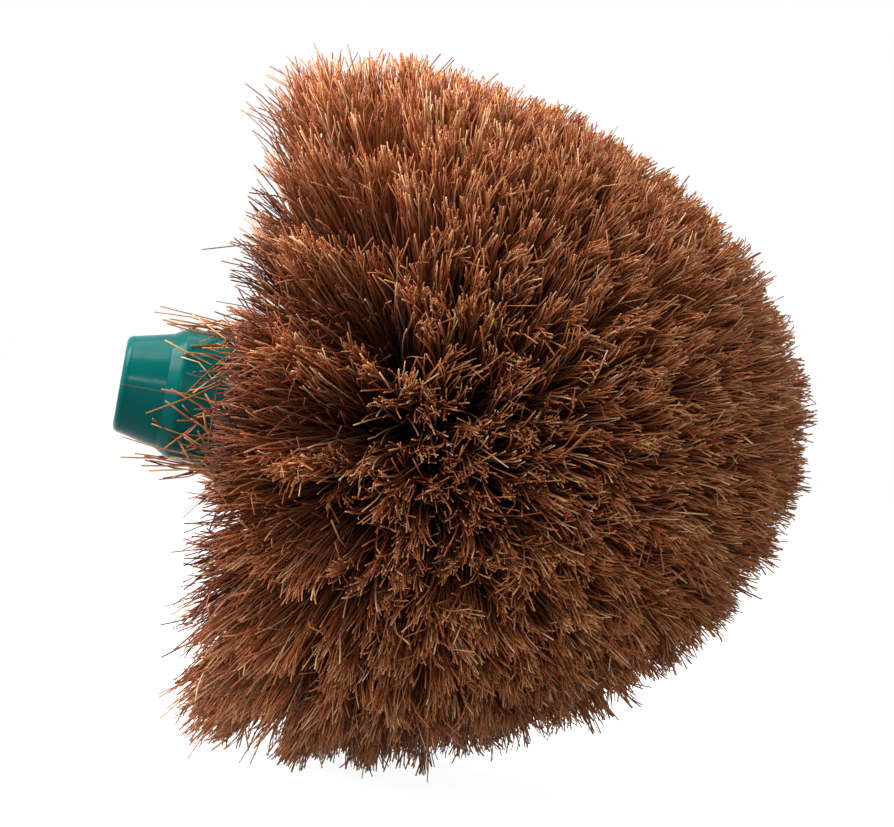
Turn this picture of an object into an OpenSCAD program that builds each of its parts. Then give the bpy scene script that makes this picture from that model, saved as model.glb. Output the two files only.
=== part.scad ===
// Cobweb brush head: a ball of coir tufts on a moulded stock with a handle socket.
// The brush lies on its side. The mouth of the socket is at the origin, and the
// ball of fibre reaches out along +X. Pieces are drawn upright, with the axis of
// the brush along Z, and each is then laid down.

/* [Handle socket] */
// Diameter of the pole that the socket takes
pole_d = 22; // [18:0.5:27]
// Room between the pole and the wall of the bore
pole_gap = 0.1; // [0.05:0.05:0.4]
// Depth of the blind bore
bore_depth = 45; // [30:1:50]
// Chamfer that leads the pole in
lead_in = 0.5; // [0.3:0.1:1]
// Wall of the nose, just behind its rounded lip
nose_wall = 2.6; // [2.4:0.1:5]
// Extra wall that the nose gains on its way to the shoulder
nose_flare = 2.5; // [0:0.1:4]
// Length of the nose, from the mouth to the shoulder
nose_len = 12.5; // [8:0.5:20]
// Radius of the rounded lip
lip_r = 2; // [1:0.1:3.2]
// Height of the shoulder, from the end of the nose up to the barrel
shoulder_step = 2.2; // [1.8:0.1:4]
// Length over which the barrel swells out of the nose
shoulder_len = 4.5; // [3:0.1:8]
// Extra wall that the barrel gains on its way to the ball
barrel_flare = 1.2; // [0:0.1:2]
// Radius of the rounded edge of the shoulder
shoulder_r = 3; // [0.5:0.1:4]
// Distance from the mouth to the near side of the ball
neck_len = 57; // [50:1:80]
// Radius of the fillet where the barrel meets the ball
neck_fillet = 8; // [3:0.5:10]

/* [Ball and tuft holes] */
// Radius of the ball that carries the tufts
ball_r = 33; // [30:0.5:40]
// Diameter of a tuft hole
hole_d = 4.4; // [3.6:0.1:5]
// Depth of a tuft hole
hole_depth = 9; // [6:0.5:10]
// Rows of tufts, from the back row to the crown
row_count = 10; // [8:1:11]
// Angle by which the back row leans back towards the handle
back_lean = 24; // [18:1:35]
// Angle from one tuft to the next along a row
tuft_step = 15.5; // [15:0.5:20]

/* [Coir tufts] */
// Room between a tuft and the wall of its hole
tuft_gap = 0.1; // [0.05:0.05:0.2]
// Strands in a tuft
strand_count = 3; // [2:1:3]
// Radius of a strand where it leaves its hole
strand_root_r = 0.8; // [0.5:0.1:0.8]
// Radius of a strand halfway along, where its fibres have spread
strand_mid_r = 1.7; // [0.6:0.1:1.8]
// Radius of a strand at its trimmed tip
strand_tip_r = 2.3; // [0.4:0.1:2.5]
// Angle by which a strand leans away from the middle of its tuft
strand_lean = 4.2; // [2:0.1:4.5]
// Bow of a strand at its middle
strand_bow = 0.8; // [0:0.1:1]
// Most by which a tip falls short of the trimmed surface
tip_short = 2; // [0:0.5:4]

/* [Trimmed shape] */
// Widest radius of the trimmed head
trim_r = 100; // [80:1:130]
// Length of the trimmed head, from its widest place to the crown
trim_len = 141; // [110:1:165]
// Distance from the ball's centre back to the widest place
trim_back = 37; // [20:1:40]
// Depth of the flat on which the brush lies
lying_flat = 0.5; // [0:0.1:1]

/* [Anchors] */
// Depth to which each end of an anchor bites into the wall of its hole
anchor_bite = 0.3; // [0.1:0.05:0.4]
// Height of an anchor along its hole
anchor_h = 1.6; // [1:0.1:2]
// Thickness of the anchor strip
anchor_t = 0.5; // [0.3:0.05:0.6]
// Room between an anchor and the fibre folded round it
anchor_gap = 0.05; // [0.02:0.01:0.1]
// Height of the folded fibre under the anchor
fold_h = 1.4; // [1:0.1:2]

/* [Link between the tufts of a row] */
// Width of the slice of the ball's skin that links the tufts
link_w = 2; // [1:0.1:3]
// Depth of that slice
link_h = 1.5; // [1:0.1:2]
// Room between the slice and the stock
link_gap = 0.1; // [0.05:0.05:0.2]
// Segments that the back row is split into, clear of the socket
back_parts = 4; // [3:1:6]

/* [Hidden] */
BACK = [for (p = [1 : back_parts]) str("back_tufts_", p)];
ROWS = [for (k = [2 : row_count - 1]) str("row_", k, "_tufts")];
ANCHOR_ROWS = [for (k = [2 : row_count - 1]) str("row_", k, "_anchors")];

bore_r = pole_d / 2 + pole_gap;
nose_r = bore_r + nose_wall;
nose_end_r = nose_r + nose_flare;
barrel_r = nose_end_r + shoulder_step;
shoulder_z = nose_len + shoulder_len;
edge_r = min(shoulder_r, shoulder_len);
barrel_end_r = barrel_r + barrel_flare;
ball_z = neck_len + ball_r;
trim_z = ball_z - trim_back;
hole_r = hole_d / 2;
root_r = hole_r - tuft_gap;
root_len = hole_depth - tuft_gap;
anchor_z = tuft_gap + fold_h;
anchor_len = hole_d + 2 * anchor_bite;
row_lean = (90 + back_lean) / (row_count - 1);
// Each row starts a little further round than the row behind it
row_turn = 37;
// Turn of the strands from one tuft to the next, so that no two tufts match
strand_turn = 137.5;
// Depth below the ball's surface at which a strand leaves its root
strand_sunk = 1;
// Least width of a root's rim round its strands
strand_rim = 0.1;
strand_off = root_r - strand_root_r - strand_rim;
// Share of its length at which a strand's middle ring lies
strand_mid = 0.45;
// Depth of a linking bar's top below the chord from hole to hole
link_sunk = 0.2;
// Distance from the middle of a root to the end of a linking bar
link_short = 0.6;
strand_sides = 3;

// Latitude of a row on the ball, from the back row (1) to the crown
function lat(row) = row_lean * (row - 1) - back_lean;

// Tufts in a row, evenly spaced round the axis
function tufts_in(row) = max(1, round(360 * cos(lat(row)) / tuft_step));

// Longitude of one tuft in its row
function lon(row, i) = row_turn * row + 360 * i / tufts_in(row);

// First tuft of a segment of the back row
function first_of(part) = floor((part - 1) * tufts_in(1) / back_parts);

// Unit vectors at a place on the ball: outward, round the axis, and to the crown
function outward(a, b) = [cos(a) * cos(b), cos(a) * sin(b), sin(a)];
function round_axis(b) = [-sin(b), cos(b), 0];
function to_crown(a, b) = [-sin(a) * cos(b), -sin(a) * sin(b), cos(a)];

function unit(v) = v / norm(v);

// Distance from the ball's centre to the trimmed surface, in direction d
function reach(d) =
    let (
        up = ball_z - trim_z,
        a = (d.x * d.x + d.y * d.y) / pow(trim_r, 2) + pow(d.z / trim_len, 2),
        b = up * d.z / pow(trim_len, 2),
        c = pow(up / trim_len, 2) - 1
    )
    (sqrt(b * b - a * c) - b) / a;

// Distance in direction d to the flat on which the brush lies
function flat_reach(d) = d.x > 0.5 ? (trim_r - lying_flat) / d.x : 10 * trim_r;

// Point of a strand's tip: v moved out to the trimmed surface
function trimmed(v, short) =
    let (d = unit(v))
    d * min(reach(d) - short, flat_reach(d));

// One ring of a strand round the point c
function ring(c, r, e, n, turn) = [
    for (j = [0 : strand_sides - 1])
        let (t = turn + 360 * j / strand_sides)
        c + r * (cos(t) * e + sin(t) * n)
];

// Faces of a strand of three rings, as triangles
function strand_faces() =
    let (s = strand_sides)
    concat(
        [[for (j = [0 : s - 1]) j]],
        [for (k = [0, 1], j = [0 : s - 1]) [k * s + j, k * s + s + j, k * s + (j + 1) % s]],
        [for (k = [0, 1], j = [0 : s - 1])
            [k * s + (j + 1) % s, k * s + s + j, k * s + s + (j + 1) % s]],
        [[for (j = [0 : s - 1]) 3 * s - 1 - j]]
    );

// The rings of strand m of the tuft at latitude a and longitude b
function strand_points(a, b, m, mark) =
    let (
        o = outward(a, b),
        e = round_axis(b),
        n = to_crown(a, b),
        luck = rands(-1, 1, 4, mark),
        turn = strand_turn * mark / strand_count + 360 * m / strand_count,
        side = cos(turn) * e + sin(turn) * n,
        root = (ball_r - strand_sunk) * o + strand_off * side,
        tip = trimmed(o + tan(strand_lean) * (1 + 0.15 * luck[0]) * side, 0),
        bow = strand_bow * (luck[1] * e + luck[2] * n),
        middle = root + strand_mid * (tip - root) + bow,
        short = tip_short * abs(luck[3])
    )
    concat(
        ring(root, strand_root_r, e, n, turn),
        ring(middle, strand_mid_r, e, n, turn),
        [for (v = ring(tip, strand_tip_r, e, n, turn)) trimmed(v, short)]
    );

// Lays an upright piece on its side, with the handle's end at the origin
module lay_down() {
    rotate([0, 90, 0])
        children();
}

// Puts a child made along +Z on the ball, with its foot at the bottom of a hole
module at_hole(a, b) {
    translate([0, 0, ball_z])
        rotate([0, 90 - a, b])
            translate([0, 0, ball_r - hole_depth])
                children();
}

// Outline of the nose and the barrel, with the neck's fillet
module socket_outline() {
    // The shoulder slopes from the end of the nose up to its rounded edge
    nose_end = [nose_end_r, nose_len];
    edge = [barrel_r - edge_r, shoulder_z];
    away = norm(edge - nose_end);
    slope = atan2(edge.x - nose_end.x, shoulder_len) + asin(edge_r / away);
    run = sqrt(pow(away, 2) - pow(edge_r, 2));
    fillet_r = barrel_end_r + neck_fillet;
    fillet_z = ball_z - sqrt(pow(ball_r + neck_fillet, 2) - pow(fillet_r, 2));
    touch = ball_r / (ball_r + neck_fillet);
    polygon([
        [0, 0], [nose_r - lip_r, 0], [nose_r - lip_r, lip_r], [nose_r, lip_r],
        nose_end, nose_end + run * [sin(slope), cos(slope)], edge, [barrel_r, shoulder_z],
        [barrel_end_r, fillet_z], [0, fillet_z]
    ]);
    translate([nose_r - lip_r, lip_r])
        circle(r = lip_r);
    translate(edge)
        circle(r = edge_r);
    difference() {
        polygon([
            [0, fillet_z], [fillet_r, fillet_z],
            [fillet_r * touch, ball_z + (fillet_z - ball_z) * touch], [0, ball_z]
        ]);
        translate([fillet_r, fillet_z])
            circle(r = neck_fillet);
    }
}

// The blind bore with its lead-in
module bore() {
    translate([0, 0, -1])
        cylinder(h = bore_depth + 1, r = bore_r);
    translate([0, 0, -lead_in])
        cylinder(h = 2 * lead_in, r1 = bore_r + 2 * lead_in, r2 = bore_r);
}

// Bar of the ball's skin from tuft i of a row to the next one, or its groove
module link(row, i, margin, open_h) {
    half_step = 180 / tufts_in(row);
    half_span = ball_r * cos(lat(row)) * sin(half_step);
    top = sqrt(pow(ball_r, 2) - pow(half_span, 2)) - link_sunk;
    half_w = link_w / 2 + margin;
    half_len = half_span - link_short + margin;
    translate([0, 0, ball_z])
        rotate([0, 90 - atan(tan(lat(row)) / cos(half_step)), lon(row, i + 0.5)])
            translate([-half_w, -half_len, top - link_h - margin])
                cube([2 * half_w, 2 * half_len, link_h + margin + open_h]);
}

// The moulded stock: ball, neck and socket in one, with its drilled holes
module stock() {
    color("teal")
        lay_down()
            difference() {
                union() {
                    rotate_extrude($fn = 96)
                        socket_outline();
                    translate([0, 0, ball_z])
                        sphere(r = ball_r, $fn = 96);
                }
                bore($fn = 64);
                for (row = [1 : row_count], i = [0 : tufts_in(row) - 1])
                    at_hole(lat(row), lon(row, i))
                        cylinder(h = hole_depth + 1, r = hole_r, $fn = 24);
                for (row = [2 : row_count - 1], i = [0 : tufts_in(row) - 1])
                    link(row, i, link_gap, 1);
                for (part = [1 : back_parts], i = [first_of(part) : first_of(part + 1) - 2])
                    link(1, i, link_gap, 1);
            }
}

// The folded root of a tuft, with the slot in which its anchor lies
module root() {
    difference() {
        translate([0, 0, tuft_gap])
            cylinder(h = root_len, r = root_r, $fn = 24);
        translate([-anchor_t / 2 - anchor_gap, -anchor_len / 2, anchor_z - anchor_gap])
            cube([anchor_t + 2 * anchor_gap, anchor_len, anchor_h + 2 * anchor_gap]);
    }
}

// One tuft: a folded root and the strands that fan out of it
module tuft(row, i) {
    a = lat(row);
    b = lon(row, i);
    mark = 100 * row + i;
    at_hole(a, b)
        root();
    translate([0, 0, ball_z])
        for (m = [0 : strand_count - 1])
            polyhedron(strand_points(a, b, m, mark), strand_faces());
}

// A whole row of tufts on its ring of skin
module tuft_row(row) {
    color("sienna")
        lay_down()
            for (i = [0 : tufts_in(row) - 1]) {
                tuft(row, i);
                link(row, i, 0, 0);
            }
}

// One segment of the back row
module back_tufts(part) {
    first = first_of(part);
    last = first_of(part + 1) - 1;
    color("sienna")
        lay_down() {
            for (i = [first : last])
                tuft(1, i);
            for (i = [first : last - 1])
                link(1, i, 0, 0);
        }
}

// The single tuft at the crown
module crown_tuft() {
    color("sienna")
        lay_down()
            tuft(row_count, 0);
}

// The flat strips driven into the holes, one across each folded tuft. Each lies along
// its row, where the holes stand further apart than from row to row.
module anchor_row(row) {
    color("gainsboro")
        lay_down()
            for (i = [0 : tufts_in(row) - 1])
                at_hole(lat(row), lon(row, i))
                    translate([-anchor_t / 2, -anchor_len / 2, anchor_z])
                        cube([anchor_t, anchor_len, anchor_h]);
}

stock();
for (p = [1 : back_parts])
    back_tufts(p);
for (k = [2 : row_count - 1])
    tuft_row(k);
crown_tuft();
anchor_row(1);  // back_anchors
for (k = [2 : row_count - 1])
    anchor_row(k);
anchor_row(row_count);  // crown_anchor
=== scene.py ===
"""Looks of a coir cobweb brush head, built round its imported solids. Lengths are in metres."""

import math

import bpy
import numpy as np
from mathutils import Matrix, Vector


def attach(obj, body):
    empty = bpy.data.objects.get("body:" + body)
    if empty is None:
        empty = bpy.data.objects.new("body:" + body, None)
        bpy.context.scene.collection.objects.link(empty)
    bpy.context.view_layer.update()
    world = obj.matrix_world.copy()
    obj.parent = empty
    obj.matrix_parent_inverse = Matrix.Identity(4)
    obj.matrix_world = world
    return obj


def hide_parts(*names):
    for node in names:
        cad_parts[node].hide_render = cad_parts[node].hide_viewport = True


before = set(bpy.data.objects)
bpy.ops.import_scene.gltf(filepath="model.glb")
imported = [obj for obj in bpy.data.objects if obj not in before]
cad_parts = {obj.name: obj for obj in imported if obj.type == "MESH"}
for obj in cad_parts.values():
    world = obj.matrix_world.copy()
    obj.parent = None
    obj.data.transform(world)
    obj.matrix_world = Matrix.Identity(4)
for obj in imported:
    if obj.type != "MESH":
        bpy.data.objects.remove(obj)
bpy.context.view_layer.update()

# Stock: nose, shoulder, barrel and ball in one polypropylene moulding, dyed teal right
# through. It is injection moulded, and is used as packed.
MM = 0.001


def linear(hex_colour):
    """An sRGB hex colour as the linear colour that a shader takes."""
    parts = [int(hex_colour[i : i + 2], 16) / 255 for i in (1, 3, 5)]
    return [c / 12.92 if c <= 0.04045 else ((c + 0.055) / 1.055) ** 2.4 for c in parts] + [1.0]


def add_node(tree, kind, settings=None, **links):
    """Adds a shader node. Settings name its properties or sockets, and links its sockets."""
    node = tree.nodes.new("ShaderNode" + kind)
    for name, value in (settings or {}).items():
        if name in node.inputs.keys():
            node.inputs[name].default_value = value
        else:
            setattr(node, name, value)
    for name, source in links.items():
        socket = node.inputs[name.replace("_", " ")]
        tree.links.new(source, socket)
    return node


def new_material(name, **settings):
    """A material with one Principled shader, and that shader."""
    material = bpy.data.materials.new(name)
    material.use_nodes = True
    shader = material.node_tree.nodes["Principled BSDF"]
    for socket, value in settings.items():
        shader.inputs[socket.replace("_", " ")].default_value = value
    return material, material.node_tree, shader


# Polypropylene straight from a polished mould: an even, deep teal with flow ripples
# about 6 mm apart, and fine dust that breaks up the gloss and softens its highlights
RIPPLE_SCALE = 1 / (6 * MM)
DUST_SCALE = 1 / (0.9 * MM)
GLOSS = (0.17, 0.28)

plastic, tree, shader = new_material("moulded_polypropylene", IOR=1.49, Specular_IOR_Level=0.04)
place = add_node(tree, "TexCoord").outputs["Object"]
ripple = add_node(tree, "TexNoise", {"Scale": RIPPLE_SCALE, "Detail": 3.0}, Vector=place)
dust = add_node(tree, "TexNoise", {"Scale": DUST_SCALE, "Detail": 2.0}, Vector=place)
tint = add_node(tree, "ValToRGB", Fac=ripple.outputs["Fac"])
tint.color_ramp.elements[0].position = 0.3
tint.color_ramp.elements[0].color = linear("#00413d")
tint.color_ramp.elements[1].position = 0.7
tint.color_ramp.elements[1].color = linear("#004843")
# The mould parts on the level plane through the axis, and leaves a thin line of dull
# flash there that stands up a little
FLASH_HALF_WIDTH = (0.1 * MM, 0.45 * MM)
FLASH_RISE = 0.2 * MM
height = add_node(tree, "SeparateXYZ", Vector=place).outputs["Z"]
off_plane = add_node(tree, "Math", {"operation": "ABSOLUTE"})
tree.links.new(height, off_plane.inputs[0])
seam = add_node(
    tree,
    "MapRange",
    {
        "From Min": FLASH_HALF_WIDTH[0],
        "From Max": FLASH_HALF_WIDTH[1],
        "To Min": 1.0,
        "To Max": 0.0,
    },
    Value=off_plane.outputs[0],
).outputs["Result"]
flash = add_node(tree, "Mix", {"data_type": "RGBA"})
tree.links.new(seam, flash.inputs["Factor"])
tree.links.new(tint.outputs["Color"], flash.inputs["A"])
flash.inputs["B"].default_value = linear("#35453a")
tree.links.new(flash.outputs["Result"], shader.inputs["Base Color"])
gloss = add_node(
    tree,
    "MapRange",
    {"From Min": 0.35, "From Max": 0.75, "To Min": GLOSS[0], "To Max": GLOSS[1]},
    Value=dust.outputs["Fac"],
)
tree.links.new(gloss.outputs["Result"], shader.inputs["Roughness"])
bump = add_node(
    tree, "Bump", {"Strength": 0.12, "Distance": 0.2 * MM}, Height=ripple.outputs["Fac"]
)
ridge = add_node(
    tree,
    "Bump",
    {"Strength": 0.5, "Distance": FLASH_RISE},
    Height=seam,
    Normal=bump.outputs["Normal"],
)
tree.links.new(ridge.outputs["Normal"], shader.inputs["Normal"])

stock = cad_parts["stock"]
stock.data.materials.clear()
stock.data.materials.append(plastic)

# Anchors: short strips of flat galvanised steel wire, one driven across the fold of each
# tuft so that its ends bite into the hole. They are used as packed, down in their holes.

# Galvanised wire as drawn: grey and dull, with fine drawing marks 0.3 mm apart
DRAWN_SCALE = 1 / (0.3 * MM)

steel, tree, shader = new_material(
    "galvanised_wire", Metallic=1.0, Base_Color=linear("#a9aaa6"), Roughness=0.42
)
place = add_node(tree, "TexCoord").outputs["Object"]
drawn = add_node(tree, "TexNoise", {"Scale": DRAWN_SCALE, "Detail": 2.0}, Vector=place)
bump = add_node(
    tree, "Bump", {"Strength": 0.3, "Distance": 0.02 * MM}, Height=drawn.outputs["Fac"]
)
tree.links.new(bump.outputs["Normal"], shader.inputs["Normal"])

for name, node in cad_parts.items():
    if name.endswith(("anchors", "anchor")):
        node.data.materials.clear()
        node.data.materials.append(steel)

# Coir tufts: brown husk fibre, folded into the holes of the ball and trimmed to an
# egg-shaped outline. Fibres fan out of each hole, nearly straight, with small kinks,
# and their cut tips are paler than the rest.

# The ball and its rows of holes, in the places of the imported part
BALL_R = 33 * MM
BALL_X = 90 * MM
HOLE_R = 2.2 * MM
ROW_COUNT = 10
BACK_LEAN = math.radians(24)
ROW_LEAN = (math.pi / 2 + BACK_LEAN) / (ROW_COUNT - 1)
TUFT_STEP = 15.5
ROW_TURN = 37
BACK_PARTS = 4

# The outline is an egg that tilts and stands a little high on the axis, cut flat behind
TRIM_R = 98.6 * MM
TRIM_LEN = 140 * MM
TRIM_X = 55 * MM
TRIM_TILT = math.radians(5)
TRIM_RAISE = 7 * MM
BACK_X = 28 * MM

chance = np.random.default_rng(20)


def reach(d):
    """Distance from the ball's centre to the trimmed surface, along each direction d."""
    c, s = math.cos(TRIM_TILT), math.sin(TRIM_TILT)
    level = np.array([[c, 0, s], [0, 1, 0], [-s, 0, c]])
    radii = np.array([TRIM_LEN, TRIM_R, TRIM_R])
    start = (level @ [0, 0, -TRIM_RAISE] + [BALL_X - TRIM_X, 0, 0]) / radii
    ray = d @ level.T / radii
    a = (ray**2).sum(1)
    b = ray @ start
    return (np.sqrt(b * b - a * (start @ start - 1)) - b) / a


def tufts_in(row):
    """How many tufts a row has, by its length round the ball."""
    turn = 360 * math.cos(ROW_LEAN * (row - 1) - BACK_LEAN) / TUFT_STEP
    return max(1, math.floor(turn + 0.5))


def tuft_frame(row, i):
    """Unit vectors at a tuft's hole: outward, round the axis, and towards the crown."""
    a = ROW_LEAN * (row - 1) - BACK_LEAN
    b = math.radians(ROW_TURN * row + 360 * i / tufts_in(row))
    outward = np.array([math.sin(a), math.cos(a) * math.sin(b), -math.cos(a) * math.cos(b)])
    round_axis = np.array([0.0, math.cos(b), math.sin(b)])
    return outward, round_axis, np.cross(outward, round_axis)


# How a tuft fans out. Spreads and leans are tangents of the angle from its middle, and
# lengths are from the ball or short of the outline.
FIBRES_IN_TUFT = 275
FIBRE_STEPS = (0, 0.5, 0.74, 0.87, 0.94, 1)
FIBRE_START = 3 * MM
FOOT_R = HOLE_R - 0.4 * MM
TUFT_SPREAD = math.tan(math.radians(7.5))
STRAY_LEAN = 0.01

# Its fibres gather in locks, which are drawn together and each lean one way
LOCKS = 36
LOCK_SPREAD = 0.65 * TUFT_SPREAD
LOCK_LEAN = 0.042
LOCK_DRAW = 0.76
LOCK_UNEVEN = 1.2 * MM
LOCK_UNEVEN_BELOW = 1.4 * MM

# A fibre bows between its ends, curls at its tip and kinks on the way
BOW = 1.8 * MM
FIBRE_CURL = 1.0 * MM
LOCK_CURL = 1.6 * MM
CURLY_SHARE = 0.2
MORE_CURL = 2.4
CURL_POWER = 10
KINK = 0.4 * MM
KINK_FADE = 1.2

# Some are cut short, some are broken off and stray, and a few stand proud
CUT_UNEVEN = 1.8 * MM
BROKEN_SHARE = 0.14
BROKEN_SPREAD = 1.8
BROKEN_SHORT = (4.5 * MM, 45 * MM)
PROUD_SHARE = 0.01
PROUD_BY = 3 * MM
BACK_UNEVEN = 2 * MM

# The back row splays over the socket in narrow points, with short fibre between them
BACK_SPLAY = math.radians(3.3)
BACK_SPLAY_ABOVE = math.radians(-0.3)
BACK_NARROW = 0.42
BACK_PROUD_BY = 12 * MM
BACK_POINTED = 12 * MM
FILL_WIDE = 1.6
FILL_LEAST_CUT = 0.3

# A short fibre ends deep in the tuft, so it takes more of the painted shade and less of the
# pale end of its colours
FULLNESS_POWER = 1.5


def fibre_paths(row, i, count, lean_back=0, cut=0):
    """Ring centres (count, rings, 3) of fibres of one tuft, which may lean back and be cut
    short by up to these amounts, how full their length is, and how stout they are."""
    outward, e, n = tuft_frame(row, i)
    far = TUFT_SPREAD * np.sqrt(chance.random(count))
    turn = chance.random(count) * 2 * np.pi
    end = far[:, None] * np.stack([np.cos(turn), np.sin(turn)], 1)
    locks = chance.normal(0, LOCK_SPREAD, (LOCKS, 2))
    lean = chance.normal(0, LOCK_LEAN, (LOCKS, 2))
    nearest = ((end[:, None] - locks[None]) ** 2).sum(2).argmin(1)
    end += LOCK_DRAW * (locks[nearest] - end) + lean[nearest]
    end += chance.normal(0, STRAY_LEAN, (count, 2))
    broken = chance.random(count) < BROKEN_SHARE
    end[broken] *= BROKEN_SPREAD
    if row == 1:
        end[:, 0] *= FILL_WIDE if cut else BACK_NARROW
        splay = BACK_SPLAY + BACK_SPLAY_ABOVE * outward[2]
        end[:, 1] -= splay * chance.random(count) ** 0.5 + lean_back * chance.random(count)
    off_centre = np.cos(turn)[:, None] * e + np.sin(turn)[:, None] * n
    foot = (BALL_R - FIBRE_START) * outward + (far / TUFT_SPREAD * FOOT_R)[:, None] * off_centre
    curl = chance.normal(0, FIBRE_CURL, (count, 2))
    curl += chance.normal(0, LOCK_CURL, (LOCKS, 2))[nearest]
    curl[chance.random(count) < CURLY_SHARE] *= MORE_CURL
    bow = chance.normal(0, BOW, (count, 2))
    d = outward + end[:, :1] * e + end[:, 1:] * n
    d /= np.linalg.norm(d, axis=1)[:, None]
    uneven = LOCK_UNEVEN + LOCK_UNEVEN_BELOW * max(0.0, -outward[2])
    short = np.abs(chance.normal(0, CUT_UNEVEN, count))
    short += chance.normal(0, uneven, LOCKS)[nearest]
    short[broken] += chance.uniform(*BROKEN_SHORT, broken.sum())
    proud = chance.random(count) < PROUD_SHARE
    short[proud] -= chance.random(proud.sum()) * (BACK_PROUD_BY if row == 1 else PROUD_BY)
    short += cut * chance.uniform(FILL_LEAST_CUT, 1, count)
    if row == 1:
        short += BACK_POINTED * (far / TUFT_SPREAD) ** 2
    # A fibre ends at the outline or at the flat back, whichever comes first
    flat = BALL_X - BACK_X + chance.normal(0, BACK_UNEVEN, count)
    tip = d * np.minimum(reach(d) - short, flat / np.maximum(-d[:, 0], 0.05))[:, None]
    t = np.array(FIBRE_STEPS)
    paths = foot[:, None] + (tip - foot)[:, None] * t[None, :, None]
    wave = bow[:, None] * (4 * t * (1 - t))[None, :, None]
    wave += curl[:, None] * (t**CURL_POWER)[None, :, None]
    kinks = chance.normal(0, KINK, (count, len(t), 2))
    wave += kinks * ((KINK_FADE - t) * (t > 0))[None, :, None]
    paths += wave[..., :1] * e + wave[..., 1:] * n
    paths[..., 0] += BALL_X
    # How much of its full reach a fibre has, which sets how much painted shade it takes
    fullness = np.minimum(np.linalg.norm(tip, axis=1) / reach(d), 1) ** FULLNESS_POWER
    return paths, fullness, np.ones(count)


# Stout fibres of the back row, bent back by use and tangled on the barrel: where they meet
# it, how far out they lie, how far they run, and how they turn there
BENT_X = (25 * MM, 38 * MM)
BENT_R = (18 * MM, 22 * MM)
BENT_RUN = (7 * MM, 24 * MM)
BENT_LIFT = (-0.5 * MM, 3 * MM)
BENT_KNEE = (4 * MM, 16 * MM)
BENT_TURN = 0.3
BENT_HEADING = 0.9
BENT_BOW = 1.5 * MM
BENT_STOUT = 1.4


def bent_fibres(i, count):
    """Fibres of one tuft of the back row that are bent back and lie tangled on the barrel."""
    outward, e, n = tuft_frame(1, i)
    foot = (BALL_R - FIBRE_START) * outward + [BALL_X, 0, 0]
    turn = math.atan2(outward[2], outward[1]) + chance.normal(0, BENT_TURN, count)
    x = chance.uniform(*BENT_X, count)
    r = chance.uniform(*BENT_R, count)
    heading = chance.normal(0, BENT_HEADING, count)
    run = chance.uniform(*BENT_RUN, count)
    lift = chance.uniform(*BENT_LIFT, count)
    bend = chance.normal(0, BENT_BOW, count)

    def on_barrel(part):
        """Where the fibres are after this part of their run along the barrel."""
        a = turn + (run * np.sin(heading) * part + bend * (part == 0.5)) / r
        out = r + lift * part
        return np.stack([x - run * np.cos(heading) * part, out * np.cos(a), out * np.sin(a)], 1)

    knee = foot + chance.uniform(*BENT_KNEE, (count, 1)) * outward
    touch = on_barrel(0)
    stops = [np.broadcast_to(foot, knee.shape), knee, (knee + touch) / 2, touch]
    paths = np.stack(stops + [on_barrel(0.5), on_barrel(1)], 1)
    return paths, np.ones(count), np.full(count, BENT_STOUT)


# A fibre is a thin prism that tapers to its tip. The finest real fibre is thinner than
# these, but wouldn't show in the render.
FIBRE_SIDES = 3
FIBRE_R = (0.16 * MM, 0.3 * MM)
FIBRE_TAPER = (1.1, 0.8)

# Its place in the fibre map: one of many columns, which sets its tint, a height that goes
# from root to tip, which sets its painted shade, and a band at the very top for the cut end
FIBRE_COLUMNS = 256
COLUMN_EDGE = 0.15
ROOT_V = 0.01
LENGTH_V = 0.96
CUT_U = (0.2, 0.5, 0.8)
CUT_V = (0.985, 0.995, 0.985)


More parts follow.
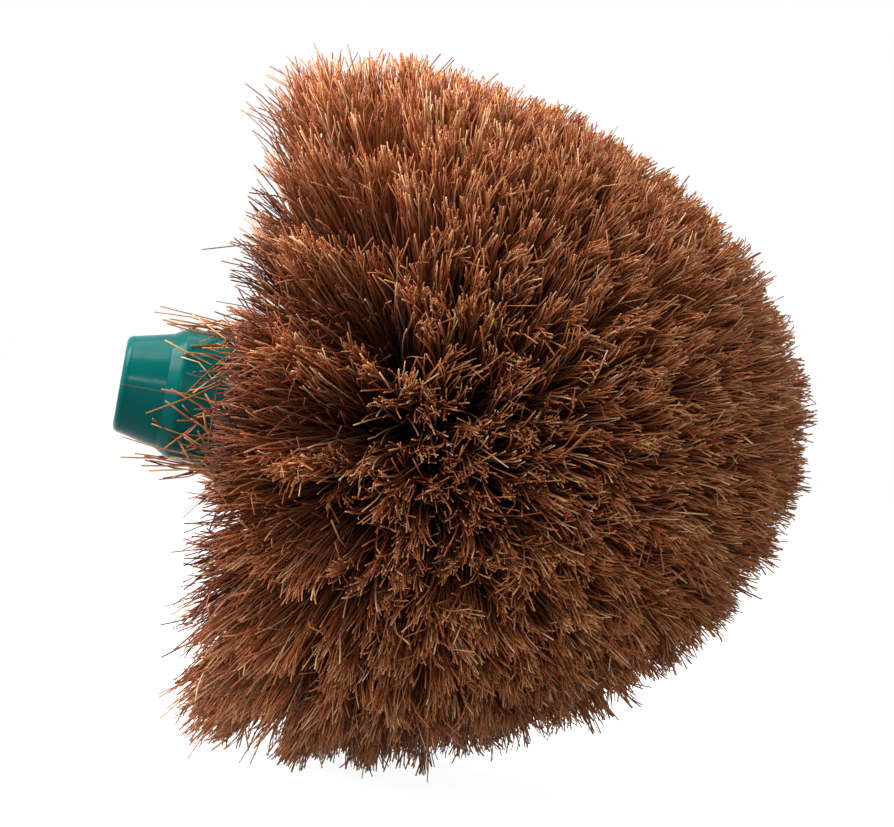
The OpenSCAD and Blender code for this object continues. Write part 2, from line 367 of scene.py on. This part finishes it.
def fibre_mesh(name, paths, fullness, stout, shade_power, material):
    """One mesh of thin prisms along the paths. Its UV map has a column for each fibre's tint
    across, and the way from root to tip upward."""
    count, rings, sides = len(paths), paths.shape[1], FIBRE_SIDES
    along = np.gradient(paths, axis=1)
    along /= np.linalg.norm(along, axis=2)[..., None]
    helper = np.where(np.abs(along[..., :1]) < 0.8, [[[1.0, 0, 0]]], [[[0, 1.0, 0]]])
    u = np.cross(along, helper)
    u /= np.linalg.norm(u, axis=2)[..., None]
    v = np.cross(along, u)
    radius = (stout * chance.uniform(*FIBRE_R, count))[:, None]
    size = radius * np.linspace(*FIBRE_TAPER, rings)
    angle = (2 * np.pi * np.arange(sides) / sides)[None, None, :, None]
    around = np.cos(angle) * u[:, :, None] + np.sin(angle) * v[:, :, None]
    verts = (paths[:, :, None] + around * size[:, :, None, None]).reshape(-1, 3)
    base = (np.arange(count) * rings * sides)[:, None, None]
    k = (np.arange(rings - 1) * sides)[None, :, None]
    j = np.arange(sides)[None, None, :]
    j2 = (j + 1) % sides
    ring = base + k
    quads = np.stack([ring + j, ring + j2, ring + sides + j2, ring + sides + j], -1)
    quads = quads.reshape(-1, 4)
    tip = (base[:, 0] + (rings - 1) * sides) + np.arange(sides)[None]
    loops = np.concatenate([quads.ravel(), tip.ravel()])
    column = chance.integers(0, FIBRE_COLUMNS, count)
    across = np.linspace(COLUMN_EDGE, 1 - COLUMN_EDGE, sides + 1)[None, None]
    left = np.broadcast_to(column[:, None, None] + across[..., :-1], (count, rings - 1, sides))
    right = np.broadcast_to(column[:, None, None] + across[..., 1:], left.shape)
    # A power below one lifts the height in the map, and with it the painted shade
    steps = np.array(FIBRE_STEPS) ** shade_power
    low = np.broadcast_to(fullness[:, None, None] * steps[None, :-1, None], left.shape)
    high = np.broadcast_to(fullness[:, None, None] * steps[None, 1:, None], left.shape)
    quad_uv = np.stack(
        [
            np.stack([left, right, right, left], -1) / FIBRE_COLUMNS,
            np.stack([low, low, high, high], -1) * LENGTH_V + ROOT_V,
        ],
        -1,
    ).reshape(-1, 2)
    tip_u = (column[:, None] + [CUT_U]) / FIBRE_COLUMNS
    tip_uv = np.stack([tip_u, fullness[:, None] * [CUT_V]], -1).reshape(-1, 2)
    uv = np.concatenate([quad_uv, tip_uv])

    mesh = bpy.data.meshes.new(name)
    mesh.vertices.add(len(verts))
    mesh.vertices.foreach_set("co", verts.astype(np.float32).ravel())
    mesh.loops.add(len(loops))
    mesh.loops.foreach_set("vertex_index", loops.astype(np.int32))
    faces = len(quads) + count
    mesh.polygons.add(faces)
    starts = np.concatenate(
        [np.arange(len(quads)) * 4, len(quads) * 4 + np.arange(count) * sides]
    )
    mesh.polygons.foreach_set("loop_start", starts.astype(np.int32))
    # The material reads "fibre", and "OFBake" holds the same map for baking.
    for layer_name in ("fibre", "OFBake"):
        layer = mesh.uv_layers.new(name=layer_name)
        layer.data.foreach_set("uv", uv.astype(np.float32).ravel())
    mesh.update(calc_edges=True)
    smooth = np.ones(faces, bool)
    smooth[len(quads) :] = False
    mesh.polygons.foreach_set("use_smooth", smooth)
    mesh.materials.append(material)
    mesh.validate()
    piece = bpy.data.objects.new(name, mesh)
    bpy.context.scene.collection.objects.link(piece)
    return piece


# Coir, a husk fibre that is washed, combed and used undyed: red-brown to straw from one
# fibre to the next, with a dull sheen. Its colour carries painted shade along each fibre:
# dark and a little blue deep in the tuft, where the fibres shade each other, and none at
# the tip. The cut end shows the pale inside of the fibre.
TINTS = (
    (0.0, "#85411f"),
    (0.3, "#9b542b"),
    (0.7, "#af6d3b"),
    (0.9, "#c08c59"),
    (1.0, "#d9b187"),
)
# Painted shade along a fibre, from root to tip: it stands in for the shadow among the fibres
PAINTED_SHADE_STOPS = (
    (0.0, (0.1, 0.1, 0.2, 1)),
    (0.5, (0.13, 0.11, 0.18, 1)),
    (0.76, (0.52, 0.44, 0.54, 1)),
    (0.9, (0.84, 0.79, 0.86, 1)),
    (0.97, (1.0, 1.0, 1.0, 1)),
)
CUT_FROM = (0.972, 0.984)
CUT_PALE = 0.4


def colour_ramp(tree, stops, source):
    """The colours of a ramp with these stops, read at the source's values."""
    node = add_node(tree, "ValToRGB", Fac=source)
    ramp = node.color_ramp
    for element, (position, colour) in zip(ramp.elements, (stops[0], stops[-1])):
        element.position = position
        element.color = colour
    for position, colour in stops[1:-1]:
        ramp.elements.new(position).color = colour
    return node.outputs["Color"]


coir, tree, shader = new_material("coir_husk_fibre", Roughness=0.5, Specular_IOR_Level=0.2)
fibre_uv = add_node(tree, "UVMap", {"uv_map": "fibre"}).outputs["UV"]
parts = add_node(tree, "SeparateXYZ", Vector=fibre_uv)
column = add_node(tree, "Math", {"operation": "MULTIPLY"})
tree.links.new(parts.outputs["X"], column.inputs[0])
column.inputs[1].default_value = FIBRE_COLUMNS
whole = add_node(tree, "Math", {"operation": "FLOOR"})
tree.links.new(column.outputs[0], whole.inputs[0])
lot = add_node(tree, "TexWhiteNoise", {"noise_dimensions": "1D"}, W=whole.outputs[0])
tint = colour_ramp(tree, [(at, linear(c)) for at, c in TINTS], lot.outputs["Value"])
# The painted shade, read from root to tip and multiplied into the tint
length = colour_ramp(tree, PAINTED_SHADE_STOPS, parts.outputs["Y"])
shade = add_node(tree, "Mix", {"data_type": "RGBA", "blend_type": "MULTIPLY"})
shade.inputs["Factor"].default_value = 1.0
tree.links.new(tint, shade.inputs["A"])
tree.links.new(length, shade.inputs["B"])
cut = add_node(
    tree,
    "MapRange",
    {"From Min": CUT_FROM[0], "From Max": CUT_FROM[1], "To Min": 0.0, "To Max": CUT_PALE},
    Value=parts.outputs["Y"],
)
pale = add_node(tree, "Mix", {"data_type": "RGBA"})
tree.links.new(cut.outputs["Result"], pale.inputs["Factor"])
tree.links.new(shade.outputs["Result"], pale.inputs["A"])
pale.inputs["B"].default_value = linear("#d9ab7e")
tree.links.new(pale.outputs["Result"], shader.inputs["Base Color"])


# The back row gets less of the painted shade along its length, so it reads paler. Short
# fibre fills it, most of it on the side that faces the camera, where it leans back over the
# socket.
BACK_SHADE_POWER = 0.3
BACK_BENT = 9
BACK_FILL = 80
NEAR_FILL = 4.0
FILL_LEAN = math.tan(math.radians(26))
FILL_CUT = 40 * MM
NEAR_FILL_LONGER = 0.7


def tuft_piece(name, node, row, first, last):
    """The fibres of some tufts of a row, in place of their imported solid."""
    lots = [fibre_paths(row, i, FIBRES_IN_TUFT) for i in range(first, last)]
    if row == 1:
        lots += [bent_fibres(i, BACK_BENT) for i in range(first, last)]
        for i in range(first, last):
            near = max(0.0, -tuft_frame(1, i)[0][1])
            count = round(BACK_FILL * (1 + NEAR_FILL * near**2))
            cut = FILL_CUT * (1 - NEAR_FILL_LONGER * near)
            lots.append(fibre_paths(1, i, count, FILL_LEAN * near, cut))
    paths, fullness, stout = (np.concatenate(lot) for lot in zip(*lots))
    piece = fibre_mesh(name, paths, fullness, stout, BACK_SHADE_POWER if row == 1 else 1, coir)
    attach(piece, "root")
    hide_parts(node)
    return piece


for part in range(BACK_PARTS):
    ends = [p * tufts_in(1) // BACK_PARTS for p in (part, part + 1)]
    tuft_piece(f"coir_back_{part + 1}", f"back_tufts_{part + 1}", 1, *ends)
for row in range(2, ROW_COUNT):
    tuft_piece(f"coir_row_{row}", f"row_{row}_tufts", row, 0, tufts_in(row))
tuft_piece("coir_crown", "crown_tuft", ROW_COUNT, 0, 1)

# Studio: a plain white table and surroundings, a large soft key lamp high on the left,
# weaker soft lamps above, at the left and in front, and a small one for the socket's
# highlight. The table keeps the brush's shadow, and reads as white to the camera.
TABLE_Z = -97 * MM
TABLE_SIZE = 8
TABLE_GLOW = 0.92
SURROUND_LIGHT = 0.1


def rays_that_show(tree):
    """One for camera, glossy and transmission rays, and zero for all others."""
    light_path = add_node(tree, "LightPath")
    shown = light_path.outputs["Is Camera Ray"]
    for ray in ("Is Glossy Ray", "Is Transmission Ray"):
        either = add_node(tree, "Math", {"operation": "MAXIMUM"})
        tree.links.new(shown, either.inputs[0])
        tree.links.new(light_path.outputs[ray], either.inputs[1])
        shown = either.outputs[0]
    return shown


bpy.ops.object.select_all(action="DESELECT")
bpy.ops.mesh.primitive_plane_add(size=TABLE_SIZE, location=(0, 0, TABLE_Z))
floor = bpy.context.object
floor.name = "floor"
# A painted white board: matt and even, so that only the soft shadow shows on it
board, tree, shader = new_material("white_table", Base_Color=linear("#8c8c8c"), Roughness=0.9)
glow = add_node(tree, "Emission", {"Color": (1, 1, 1, 1), "Strength": TABLE_GLOW})
seen = add_node(tree, "MixShader")
tree.links.new(rays_that_show(tree), seen.inputs[0])
both = add_node(tree, "AddShader")
tree.links.new(shader.outputs[0], both.inputs[0])
tree.links.new(glow.outputs[0], both.inputs[1])
tree.links.new(shader.outputs[0], seen.inputs[1])
tree.links.new(both.outputs[0], seen.inputs[2])
tree.links.new(seen.outputs[0], tree.nodes["Material Output"].inputs["Surface"])
floor.data.materials.append(board)

world = bpy.data.worlds.new("studio")
bpy.context.scene.world = world
world.use_nodes = True
tree = world.node_tree
back = tree.nodes["Background"]
back.inputs["Color"].default_value = (1, 1, 1, 1)
strength = add_node(
    tree,
    "MapRange",
    {"From Min": 0.0, "From Max": 1.0, "To Min": SURROUND_LIGHT, "To Max": 1.0},
    Value=rays_that_show(tree),
)
tree.links.new(strength.outputs["Result"], back.inputs["Strength"])


def soft_light(name, place, aim, size, watts, tone=(1, 1, 1)):
    """A square soft box at a place, turned to shine on a point."""
    bpy.ops.object.light_add(type="AREA", location=place)
    lamp = bpy.context.object
    lamp.name = name
    lamp.data.size = size
    lamp.data.energy = watts
    lamp.data.color = tone
    lamp.rotation_euler = (Vector(aim) - Vector(place)).to_track_quat("-Z", "Y").to_euler()


BRUSH_MIDDLE = (0.05, 0, 0.03)
NOSE_MIDDLE = (0.01, 0, 0)
soft_light("key", (-0.38, 0.0, 0.5), BRUSH_MIDDLE, 0.45, 15.5)
soft_light("top", (0.05, 0.35, 1.1), BRUSH_MIDDLE, 0.8, 9)
soft_light("left", (-1.03, -0.1, 0.25), BRUSH_MIDDLE, 0.8, 9, (0.85, 0.92, 1))
soft_light("front", (0.09, -1.1, 0.1), BRUSH_MIDDLE, 0.8, 8, (0.8, 0.9, 1))
soft_light("glint", (-0.52, -0.98, 0.33), NOSE_MIDDLE, 0.05, 3.0)

bpy.context.scene.view_settings.view_transform = "Standard"

# Camera: 0.7 m away, beside the mouth of the socket and a little above it, aimed at the
# middle of the brush and rolled so that the brush's axis runs down to the right.
CAMERA_AT = Vector((0.0, -0.70, 0.018))
CAMERA_AIM = Vector((0.092, 0.0, 0.0076))
CAMERA_ROLL = math.radians(10.2)
CAMERA_LENS = 100.3
bpy.ops.object.camera_add(location=CAMERA_AT)
camera = bpy.context.object
camera.data.sensor_width = 36
camera.data.lens = CAMERA_LENS
turn = (CAMERA_AIM - CAMERA_AT).to_track_quat("-Z", "Y").to_matrix().to_4x4()
camera.matrix_world = (
    Matrix.Translation(CAMERA_AT) @ turn @ Matrix.Rotation(CAMERA_ROLL, 4, "Z")
)
bpy.context.scene.camera = camera
